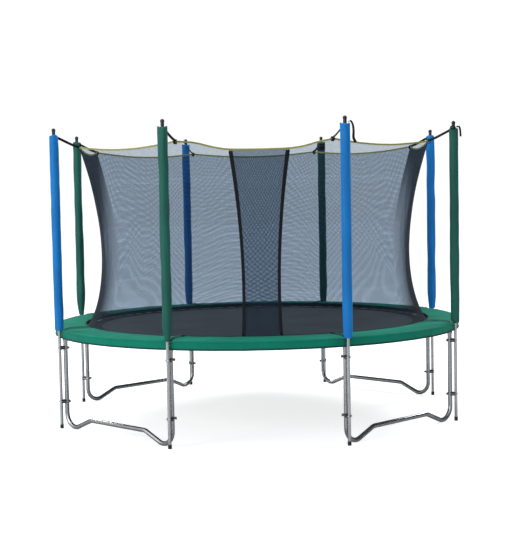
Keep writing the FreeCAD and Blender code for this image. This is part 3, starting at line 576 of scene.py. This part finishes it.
def pad_surface(angle, ring, height):
    """The pad's skin: the outline carried round the frame, with creases over the top, rays at the poles,
    the waves of the skirt, and the dents under the covers."""
    # the outline's rows from here on are the skirt's inner face and the underside
    first_inner = 47
    under = np.where(np.arange(len(height)) >= first_inner, 0.0025, 0.0)[:, None]
    ring, height, angle = ring[:, None], height[:, None], angle[None]
    skin = polar(ring, angle, height)
    top = np.clip((height - 0.858) / 0.006, 0, 1)
    middle = np.clip(np.sin(math.pi * np.clip((ring - 1.570) / 0.262, 0, 1)), 0, 1)
    flow = folds(skin, 61, (0.55, 0.55, 1.0)) * 0.0018
    creases = folds(skin, 62, (0.13, 0.13, 0.6)) * 0.0010
    drift = folds(skin, 63, (0.7, 0.7, 1.0)) * 3.0
    creases = creases + np.sin(ring * 190.0 + drift) * folds(skin, 64, (0.4, 0.4, 1.0)) * 0.0008
    rays = np.sin(angle * 97.0) * pinch(angle, 0.09) * 0.0022
    drop = np.clip((0.846 - height) / 0.06, 0, 1)
    outwards = skirt_wave(angle, drop) * np.clip((ring - 1.8360) / 0.0020, 0, 1)
    seam = pinch(angle, 0.014) * top * 0.0045
    lifted = skin[..., 2] + top * (middle ** 0.5 * (flow + creases) + rays * middle) - seam
    return dented(polar(ring + outwards, angle, lifted), under)


def make_pad():
    """The padded ring with its skirt, the dark tapes that bind its foot and its inner lip, and stitches."""
    angle = np.linspace(0, WHOLE_TURN, 1296, endpoint=False)
    ring, height = pad_section()
    skin = pad_surface(angle, ring, height)
    pad = make_piece("spring_pad", [grid(skin, (0.75, 11.4), (True, True))], PAD_CLOTH)
    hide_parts("frame_pad")

    foot = polar(1.8405 + skirt_wave(angle, 1.0), angle, 0.7900)
    binding = swept(foot, (0, 0, 1), 0.0140, 0.0058, 0.35, 10, loop=True)
    lip = swept(polar(1.5668, angle, 0.8610), (0, 0, 1), 0.0100, 0.0030, 0.5, 8, loop=True)
    make_piece("pad_binding", [binding, lip], PAD_BINDING)

    dashes = np.linspace(0, WHOLE_TURN, 1440, endpoint=False)
    half = 0.0022 / 1.8
    spots = [polar(1.8418 + skirt_wave(dashes, 0.9), dashes + step * half, 0.7985) for step in (-1, 0, 1)]
    stitch = np.stack(spots, 1)
    make_piece("pad_stitches", [swept(stitch, (0, 0, 1), 0.0010, 0.0008, sections=4)], PAD_BINDING)


# ---------------------------------------------------------------- mat, rings and springs

def make_mat():
    """The mat in eight wedges that meet edge to edge. A wedge carries its stretch of edge webbing, drawn
    wide and dark as partly painted shade, nine tabs, nine rings and nine springs."""
    ring = np.linspace(0.0, MAT_RING, 34)
    turn = np.linspace(-HALF_PANEL, HALF_PANEL, 19)
    thick = 0.0020
    loop_ring = np.concatenate([ring, ring[::-1]])[:, None]
    loop_height = np.repeat([MAT_LEVEL + thick / 2, MAT_LEVEL - thick / 2], len(ring))[:, None]
    steps = np.radians(np.arange(-20, 21, 5))
    for number in POLES:
        angle = pole_angle(number)
        wedge = polar(loop_ring, angle + turn[None], loop_height)
        side = wedge[:, [0, -1]].copy()
        side[..., 2] = MAT_LEVEL
        wedge = np.concatenate([side[:, :1], wedge, side[:, 1:]], 1)
        mat = make_piece(f"mat_wedge_{number}", [grid(wedge, (3.1, 0.8), (True, False))], MAT_CLOTH,
                         body=None)
        # edge tape drawn wide and dark: part webbing, part painted shade under the pad's edge
        webbing = make_piece(f"mat_webbing_{number}", edge_webbing(angle, turn, steps), MAT_WEBBING_AND_SHADE,
                             body=None)
        rings = make_piece(f"v_rings_{number}", [v_rings(angle + steps)], STEEL_WIRE,
                           body=None)
        springs = make_piece(f"springs_{number}", [coil_springs(angle + steps)], STEEL_WIRE,
                             body=None)
        rail_side = tuple(polar(1.79, angle, MAT_LEVEL))
        for piece in (mat, webbing, rings, springs):
            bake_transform(piece)
        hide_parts("jumping_mat")
        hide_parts("mat_edge_webbing")
        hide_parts("v_rings")
        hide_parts("springs")


def edge_webbing(angle, turn, steps):
    """The flat band sewn on the mat's edge in two runs, the band in the folds of the tabs, and a folded tab
    for each ring. They fill the whole dark ring at the mat's edge, which is part webbing and part painted
    shade under the pad's edge."""
    arcs = angle + np.linspace(turn[0], turn[-1], 40)
    grids = []
    for middle, width, lift in ((1.4480, 0.0440, 0.0022), (1.4930, 0.0420, 0.0022), (1.5345, 0.0390, 0.0)):
        path = polar(middle, arcs, MAT_LEVEL + lift)
        grids.append(swept(path, polar(1.0, arcs, 0.0), width, 0.0020, 0.3, 10))
    fold = np.linspace(math.pi / 2, -math.pi / 2, 7)
    straight = np.linspace(1.520, 1.556, 5)
    half = 0.0028
    ring = np.concatenate([straight[:-1], 1.556 + half * np.cos(fold), straight[-2::-1]])
    height = np.concatenate([np.full(4, half), half * np.sin(fold), np.full(4, -half)])
    path = np.stack([ring, np.zeros(len(ring)), MAT_LEVEL + height], -1)
    places = angle + steps
    grids.append(swept(turned(path, places), tangent(places)[:, None], 0.0250, 0.0014, 0.3, 8))
    return grids


def tangent(angle):
    """The level direction across a ring at an angle."""
    return polar(1.0, angle + math.pi / 2, 0.0)


def v_rings(angles):
    """Rings of round wire: a closed line through the corners of a trapezium, its corners rounded by moving
    averages, wide at the tab and narrow at the spring."""
    corners = np.array([(0.0, -0.0190), (0.034, -0.0090), (0.034, 0.0090), (0.0, 0.0190), (0.0, -0.0190)])
    lengths = np.concatenate([[0], np.cumsum(np.linalg.norm(np.diff(corners, axis=0), axis=1))])
    place = np.linspace(0, lengths[-1], 36, endpoint=False)
    line = np.stack([np.interp(place, lengths, corners[:, axis]) for axis in (0, 1)], -1)
    for _ in range(2):
        line = (np.roll(line, 1, 0) + line + np.roll(line, -1, 0)) / 3
    path = np.stack([1.5565 + line[:, 0], line[:, 1], np.full(len(line), MAT_LEVEL)], -1)
    return swept(turned(path, angles), (0, 0, 1), 0.0040, 0.0040, sections=6, loop=True)


def coil_springs(angles):
    """Close-wound springs: a helix of wire between an eye round the ring's bar and a hook into the rail.
    Along the wire the distance from the axis goes from 0 up to the coil's radius and back to 0."""
    wire, turns = 0.0032, 46
    share = np.linspace(0, 1, turns * 7 + 1)
    widen = np.clip(np.minimum(share, 1 - share) * turns / 0.8, 0, 1)
    radius = 0.0094 * np.sin(widen * math.pi / 2)
    theta = share * turns * WHOLE_TURN
    coil = np.stack([1.612 + 0.156 * share, radius * np.cos(theta), radius * np.sin(theta)], -1)
    turn = np.radians(np.linspace(290, -20, 14))
    bend = 0.0070
    eye = np.stack([1.5920 - bend * np.cos(turn), np.zeros(len(turn)), -bend * np.sin(turn)], -1)
    neck = eased([(1.5995, 0, 0), (1.606, 0, 0), (1.611, 0, 0)], 4)
    hook = eased([(1.770, 0, 0), (1.780, 0, 0), (1.792, 0, 0), (1.7995, 0, -0.0005),
                  (1.8015, 0, -0.0050)], 12)
    line = np.concatenate([eye, neck, coil, hook])
    line[:, 2] += MAT_LEVEL
    side = np.tile([0.02, 1.0, 0.3], (len(line), 1))
    start = len(eye) + len(neck)
    side[start:start + len(coil)] = np.stack([np.zeros(len(coil)), np.cos(theta), np.sin(theta)], -1)
    return swept(turned(line, angles), turned(side, angles), wire, wire, sections=5)


# ---------------------------------------------------------------- safety net

NET_FOOT = 0.838
NET_FOOT_RING = 1.5635
NET_HEAD_RING = 1.515
NET_CORNER_RING = 1.642
NET_CORNER_HEIGHT = 2.443
NET_WAIST = 0.137
NET_SAG = 0.040
HEM = 0.018

DOOR_CENTRE = 0.040
DOOR_HALF_FOOT = 0.157
DOOR_HALF_HEAD = 0.230
DOOR_WAIST = 0.016
DOOR_SAG = 0.076


def waist(share):
    """How far the net is drawn in: the sine of pi times the share of its height to the power 0.7."""
    return np.sin(math.pi * np.clip(share, 0, 1) ** 0.7)


def net_ring(turn, share):
    """The net's radius at an angle from its panel's middle: a circle at the foot, a straight chord between
    the corners at the top, drawn in by the waist between them."""
    middle = NET_FOOT_RING + (NET_HEAD_RING - NET_FOOT_RING) * share - NET_WAIST * waist(share)
    bulge = (1 / np.cos(turn) - 1) / (1 / math.cos(HALF_PANEL) - 1)
    return middle + (NET_CORNER_RING - NET_HEAD_RING) * share ** 2 * bulge


def net_top(turn, front):
    """The top edge's height: a sagging parabola between two corners. Over the entrance it is lower and
    level, and rises to the corners along an S-curve."""
    if not front:
        return NET_CORNER_HEIGHT - NET_SAG * (1 - (turn / HALF_PANEL) ** 2)
    past = np.abs(np.sin(turn) * NET_HEAD_RING - DOOR_CENTRE) - DOOR_HALF_HEAD
    rise = past / (NET_CORNER_RING * math.sin(HALF_PANEL) - DOOR_HALF_HEAD)
    level = 1 / (1 + np.exp(-6.5 * (rise - 0.45)))
    return NET_CORNER_HEIGHT - DOOR_SAG * (1 - level)


def door_angle(side, share):
    """The angle from the front to an edge of the entrance, side -1 or 1: it widens with the height to the
    power 2.5 and narrows at the waist."""
    half = DOOR_HALF_FOOT + (DOOR_HALF_HEAD - DOOR_HALF_FOOT) * share ** 2.5 - DOOR_WAIST * waist(share)
    return (DOOR_CENTRE + side * half) / net_ring(0.0, share)


def net_sheet(middle, left, right, low, high, inset, front, columns):
    """A stretch of net between two edges and two heights: the drawn-in surface, with long folds that fade
    out at the edges. left, right and high are functions, of the share of the height and of the angle."""
    up, across = np.meshgrid(np.linspace(0, 1, 65), np.linspace(0, 1, columns), indexing="ij")
    share = 0.02 + 0.98 * up
    turn = left(share) + (right(share) - left(share)) * across
    height = low + (high(turn) - low) * up
    share = (height - NET_FOOT) / (net_top(turn, front) - NET_FOOT)
    flat = polar(net_ring(turn, share), middle + turn, height)
    free = np.clip(np.sin(math.pi * np.clip(share, 0, 1)), 0, 1)
    free = free * np.cos(turn / HALF_PANEL * math.pi / 2) ** 0.5
    waves = folds(flat, 81, (0.60, 0.60, 1.8)) + folds(flat, 82, (0.25, 0.25, 0.9)) * 0.25
    return polar(net_ring(turn, share) - inset + waves * free * 0.0035, middle + turn, height)


def make_net():
    """Seven whole panels, two part panels beside the entrance, and the second layer of net over the
    entrance, which swings in."""

    def corner_left(share):
        return -HALF_PANEL

    def corner_right(share):
        return HALF_PANEL

    def door_left(share):
        return door_angle(-1, share)

    def door_right(share):
        return door_angle(1, share)

    for number in POLES:
        front = number == 8
        spans = [(f"net_panel_{number}", corner_left, corner_right, (1.26, 1.62), 1.75, 49)]
        if front:
            spans = [("net_front_left", corner_left, door_left, (0.62, 1.60), 0.72, 25),
                     ("net_front_right", door_right, corner_right, (0.54, 1.60), 0.62, 25)]
        for name, left, right, flat, area, columns in spans:
            skin = net_sheet(pole_angle(number) + HALF_PANEL, left, right, 0.852,
                             lambda turn: net_top(turn, front) - HEM / 2, 0.0015, front, columns)
            net = make_piece(name, [grid(skin, (1.60, flat[0]))], NET, closed=False)
            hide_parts("safety_net")

    lap = 0.012 / NET_HEAD_RING
    skin = net_sheet(FRONT, lambda share: door_left(share) - lap, lambda share: door_right(share) + lap,
                     0.856, lambda turn: net_top(turn, True) - HEM / 2 - 0.004, 0.0115, True, 33)
    flap = make_piece("net_entrance_flap", [grid(skin, (1.52, 0.36))], DOOR_NET, body=None,
                      closed=False)
    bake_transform(flap)
    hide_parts("entrance_flap")


def make_hems():
    """The olive tape along the net's top, the dark hem round its foot, and two tapes at the entrance."""
    turn = np.linspace(-HALF_PANEL, HALF_PANEL, 49)[:-1]
    runs = []
    for number in POLES:
        high = net_top(turn, number == 8) - HEM / 2
        share = (high - NET_FOOT) / (net_top(turn, number == 8) - NET_FOOT)
        runs.append(polar(net_ring(turn, share) - 0.0015, pole_angle(number) + HALF_PANEL + turn, high))
    line = np.concatenate(runs)
    line[:, 2] += folds(line, 91, (0.10, 0.10, 1.0)) * 0.0006
    hem = make_piece("net_top_tape", [swept(line, (0, 0, 1), HEM - 0.003, 0.0045, 0.4, 10, loop=True)],
                     YELLOW_TAPE)
    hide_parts("net_top_hem")

    angle = np.linspace(0, WHOLE_TURN, 480, endpoint=False)
    circle = polar(1.5620, angle, 0.8508)
    foot = make_piece("net_foot_tape", [swept(circle, (0, 0, 1), 0.0345, 0.0040, 0.4, 10, loop=True)],
                      BLACK_WEBBING)
    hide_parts("net_foot_hem")

    tapes = []
    share = np.linspace(0.02, 0.985, 60)
    for side in (-1, 1):
        turn = door_angle(side, share)
        height = NET_FOOT + share * (net_top(turn, True) - NET_FOOT)
        line = polar(net_ring(turn, share) + 0.0014, FRONT + turn, height)
        tapes.append(swept(line, tangent(FRONT + turn), 0.026 + 0.009 * share ** 3, 0.0022, 0.35, 10))
    tape = make_piece("entrance_edge_tapes", tapes, BLACK_WEBBING)
    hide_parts("entrance_tapes")


# ---------------------------------------------------------------- straps

def make_straps():
    """Straps from the net's top corners to the poles, flat at a sewn loop in the net and then turned on
    edge and doubled, and straps from the net's foot over the pad to the poles."""
    width = 0.022
    steps = 32
    share = np.clip(np.linspace(0, 1, steps) / 0.35, 0, 1)
    share = share * share * (3 - 2 * share)
    twist = share[:, None] * math.radians(74)
    line = eased([(1.634, 0, 2.424), (1.641, 0, 2.437), (1.700, 0, 2.459), (1.760, 0, 2.487),
                  (1.824, 0, 2.518)], steps)
    turn = np.linspace(0, WHOLE_TURN, 20, endpoint=False)
    loop = np.stack([1.640 + 0.016 * np.cos(turn), 0 * turn, 2.4300 + 0.019 * np.sin(turn)], -1)
    over = eased([(1.566, 0, 0.8600), (1.570, 0, 0.8710), (1.592, 0, 0.8760), (1.640, 0, 0.8780),
                  (1.700, 0, 0.8785), (1.760, 0, 0.8765), (1.795, 0, 0.8700), (1.816, 0, 0.8570)], 40)
    top, foot = [], []
    for number in POLES:
        angle = pole_angle(number)
        side = tangent(angle)
        facing = side * np.cos(twist) + np.array([0, 0, 1.0]) * np.sin(twist)
        top.append(swept(turned(line, angle)[0], facing, width, 0.0024 + 0.0030 * share, 0.35, 10))
        top.append(swept(turned(loop, angle)[0], side, width, 0.0022, 0.35, 10, loop=True))
        foot.append(swept(turned(over, angle)[0], side, 0.032, 0.0026, 0.35, 10))
    straps = make_piece("net_top_straps_sewn", top, BLACK_WEBBING)
    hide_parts("net_top_straps")
    over_pad = make_piece("net_foot_straps_sewn", foot, GREEN_WEBBING)
    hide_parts("net_foot_straps")


def make_loose_ends():
    """Ends of strap left hanging: one from the first pole's top, one from the second's with a bow, and one
    beside the fourth leg; and the strap wound round the fourth cover's top."""
    first, second, fourth = (polar(POLE_RING, pole_angle(number), 0.0) for number in (1, 2, 4))
    flat = (1.0, 0.25, 0.0)
    hanging = eased([(0.020, -0.036, 2.546), (0.040, -0.040, 2.555), (0.057, -0.038, 2.530),
                     (0.064, -0.036, 2.480), (0.063, -0.034, 2.425), (0.080, -0.032, 2.388)], 28)
    short = eased([(0.020, -0.034, 2.545), (0.040, -0.036, 2.549), (0.052, -0.032, 2.520),
                   (0.056, -0.030, 2.462)], 20)
    bow = eased([(0.012, -0.045, 2.540), (-0.020, -0.050, 2.553), (-0.032, -0.048, 2.538),
                 (-0.010, -0.046, 2.528), (0.010, -0.044, 2.534)], 20)
    low = eased([(0.030, 0.0, 0.775), (0.040, 0.0, 0.742), (0.036, 0.0, 0.700), (0.018, 0.0, 0.655)], 16)
    tails = [
        swept(first + hanging, (1.0, 0.2, 0.5), np.linspace(0.012, 0.024, 28), 0.0026, 0.4, 8),
        swept(second + short, flat, 0.018, 0.0026, 0.4, 8),
        swept(second + bow, flat, 0.012, 0.0024, 0.4, 8),
        swept(fourth * 0.962 + low, flat, 0.022, 0.0024, 0.4, 8),
    ]
    turn = np.linspace(0, WHOLE_TURN, 40, endpoint=False)
    for height in (2.512, 2.488, 2.466):
        wound = fourth + polar(COVER_RADIUS + 0.0018, turn, height + 0.004 * np.cos(turn))
        tails.append(swept(wound, (0, 0, 1), 0.022, 0.0022, 0.4, 8, loop=True))
    make_piece("strap_ends", tails, BLACK_WEBBING)


# ---------------------------------------------------------------- camera, floor and light

def make_camera():
    """The camera at eye height in front of the entrance, a little above the pad, turned by small angles."""
    yaw, pitch, roll = 0.0006, 0.0630, -0.0193
    ahead = Vector((math.sin(yaw) * math.cos(pitch), math.cos(yaw) * math.cos(pitch), -math.sin(pitch)))
    right = Vector((math.cos(yaw), -math.sin(yaw), 0))
    up = right.cross(ahead)
    level = math.cos(roll) * right + math.sin(roll) * up
    tall = math.cos(roll) * up - math.sin(roll) * right
    data = bpy.data.cameras.new("camera")
    data.sensor_width = 36.0
    data.lens = 81.97
    data.clip_end = 200.0
    camera = bpy.data.objects.new("camera", data)
    camera.matrix_world = Matrix((level, tall, -ahead)).transposed().to_4x4()
    camera.location = (-0.018, -11.590, 1.978)
    bpy.context.scene.collection.objects.link(camera)
    bpy.context.scene.camera = camera


def make_floor():
    """A plain pale floor that runs far enough to meet the white backdrop. Light that only the camera sees
    lifts it to white."""
    reach = 80.0
    mesh = bpy.data.meshes.new("floor")
    corners = [(-reach, -reach, 0), (reach, -reach, 0), (reach, reach, 0), (-reach, reach, 0)]
    mesh.from_pydata(corners, [], [(0, 1, 2, 3)])
    paint = Paint("studio_floor", {"Roughness": 0.9, "Specular IOR Level": 0.1})
    grey, paler = (0.66, 0.66, 0.66, 1), (0.70, 0.70, 0.70, 1)
    paint.feed("Base Color", paint.mix(paint.noise(0.4, 2.0), grey, paler))
    seen = paint.add("ShaderNodeLightPath", {}, {}, "Is Camera Ray")
    glow = paint.add("ShaderNodeEmission", {}, {"Color": (1, 1, 1, 1), "Strength": seen * 0.74})
    both = paint.add("ShaderNodeAddShader", {}, {0: Value(paint, paint.shader.outputs[0]), 1: glow})
    paint.tree.links.new(both.socket, paint.tree.nodes["Material Output"].inputs["Surface"])
    mesh.materials.append(paint.material)
    floor = bpy.data.objects.new("floor", mesh)
    bpy.context.scene.collection.objects.link(floor)


def area_light(name, place, target, size, power):
    """A soft square light that faces a point."""
    data = bpy.data.lights.new(name, "AREA")
    data.shape = "RECTANGLE"
    data.size, data.size_y = size
    data.energy = power
    light = bpy.data.objects.new(name, data)
    light.location = place
    light.rotation_euler = (Vector(target) - Vector(place)).to_track_quat("-Z", "Y").to_euler()
    bpy.context.scene.collection.objects.link(light)


def make_light():
    """A white backdrop for the camera. Cloth is lit by an even pale sky, and metal mirrors a studio that is
    bright in front to the left and dark behind. Broad lamps stand in front, behind and above."""
    world = bpy.data.worlds.new("studio")
    world.use_nodes = True
    bpy.context.scene.world = world
    tree = world.node_tree
    link = tree.links.new

    def backdrop(colour, strength):
        node = tree.nodes.new("ShaderNodeBackground")
        node.inputs["Color"].default_value = colour
        node.inputs["Strength"].default_value = strength
        return node

    def chosen(factor, without, given):
        node = tree.nodes.new("ShaderNodeMixShader")
        link(factor, node.inputs[0])
        link(without.outputs[0], node.inputs[1])
        link(given.outputs[0], node.inputs[2])
        return node

    direction = tree.nodes.new("ShaderNodeTexCoord").outputs["Generated"]
    towards = tree.nodes.new("ShaderNodeVectorMath")
    towards.operation = "DOT_PRODUCT"
    towards.inputs[1].default_value = Vector((-0.62, -0.70, 0.36)).normalized()
    link(direction, towards.inputs[0])
    glow = tree.nodes.new("ShaderNodeMapRange")
    glow.interpolation_type = "SMOOTHSTEP"
    for socket, value in ((1, 0.15), (2, 1.00), (3, 0.10), (4, 1.90)):
        glow.inputs[socket].default_value = value
    link(towards.outputs["Value"], glow.inputs[0])
    mirrored = backdrop((0.94, 0.97, 1.0, 1), 1.0)
    link(glow.outputs[0], mirrored.inputs["Strength"])

    seen = tree.nodes.new("ShaderNodeLightPath").outputs
    lit = chosen(seen["Is Glossy Ray"], backdrop((0.90, 0.93, 1.0, 1), 0.58), mirrored)
    either = chosen(seen["Is Camera Ray"], lit, backdrop((1, 1, 1, 1), 1.05))
    link(either.outputs[0], tree.nodes["World Output"].inputs["Surface"])
    area_light("front_lamp", (-8.0, -7.0, 5.0), (-0.6, 0, 1.2), (4.0, 3.0), 330)
    area_light("back_left_lamp", (-7.0, 6.0, 7.0), (0, 0, 0.8), (2.0, 2.0), 420)
    area_light("back_right_lamp", (7.0, 6.0, 7.0), (0, 0, 0.8), (2.0, 2.0), 420)
    area_light("top_lamp", (0, 0, 9.0), (0, 0, 0), (6.0, 6.0), 330)
    bpy.context.scene.view_settings.view_transform = "Standard"
    bpy.context.scene.cycles.transparent_max_bounces = 24


make_camera()
paint_cad_nodes()
make_covers()
make_foam()
make_collars()
make_pad()
make_mat()
make_net()
make_hems()
make_straps()
make_loose_ends()
make_floor()
make_light()
